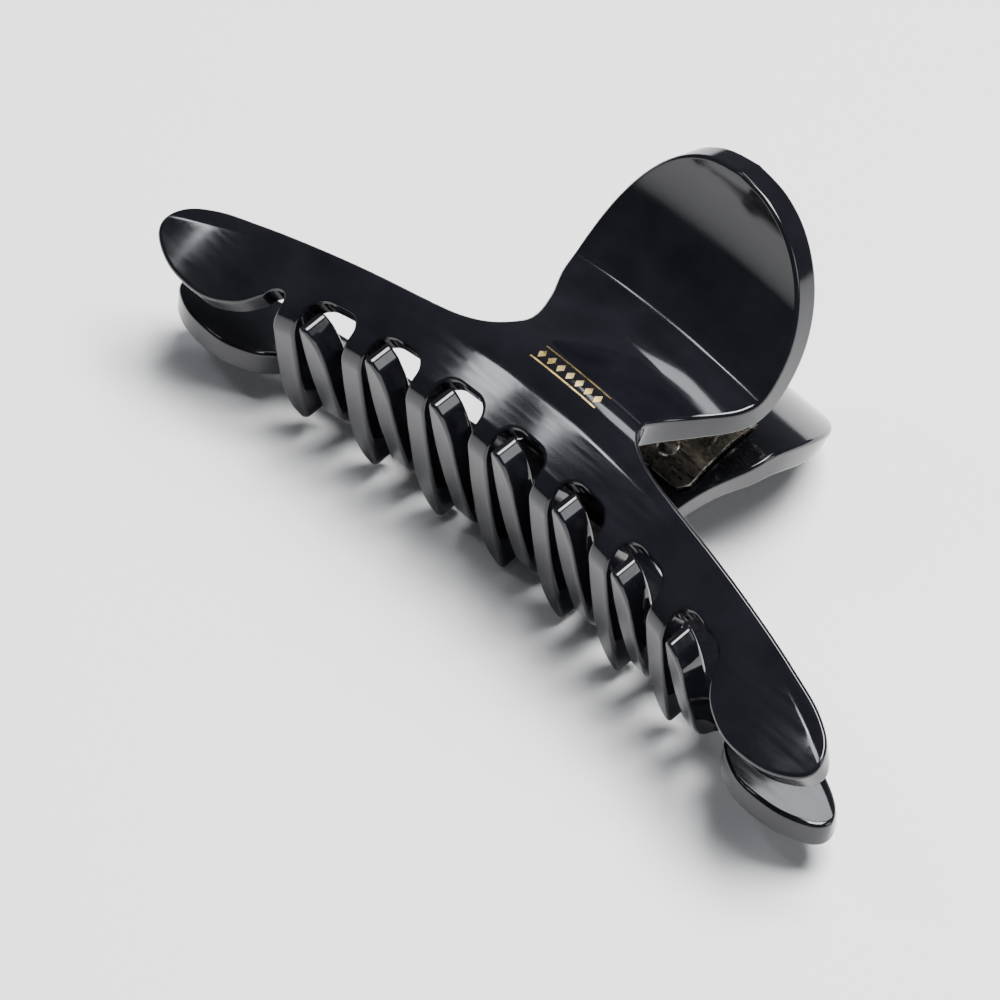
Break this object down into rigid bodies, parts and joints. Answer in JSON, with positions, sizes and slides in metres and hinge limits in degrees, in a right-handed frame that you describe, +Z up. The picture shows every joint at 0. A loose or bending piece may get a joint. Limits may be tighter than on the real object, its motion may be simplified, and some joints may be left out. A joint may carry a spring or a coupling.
{
  "type": "hair claw clip",
  "caption": "Hair claw clip: bent glossy jaws with interlocking teeth and rounded paddle ends, sprung shut by a metal hinge between round finger pads.",
  "frame": {"origin": "centre of the bounding box's underside: the surface the clip lies on, resting on the rear pad's tip and the tips of the front teeth", "axes": "+X along the jaws' web, +Y from the teeth towards the finger pads, +Z up from the surface, the front jaw on top"},
  "size_m": [0.111, 0.0564, 0.0466],
  "materials": {
    "acetate": "polished black cellulose acetate",
    "nickel": "dark nickel plate",
    "spring_steel": "bright drawn wire"
  },
  "bodies": {
    "rear_half": {"rear_jaw": "acetate", "rear_hinge_leaf": "nickel", "rear_leaf_stud_left": "nickel", "rear_leaf_stud_right": "nickel", "hinge_pin": "nickel", "torsion_spring": "spring_steel"},
    "front_half": {"front_jaw": "acetate", "front_hinge_leaf": "nickel", "front_leaf_stud_left": "nickel", "front_leaf_stud_right": "nickel"}
  },
  "joints": [
    {"name": "jaw_hinge", "type": "hinge", "parent": "rear_half", "child": "front_half", "pos_m": [0, 0.00915, 0.0207], "axis": [-1, 0, 0], "range_deg": [0, 60], "stiffness_Nm_per_rad": 0.08, "springref_deg": -57.3, "deforming": ["torsion_spring"]}
  ]
}
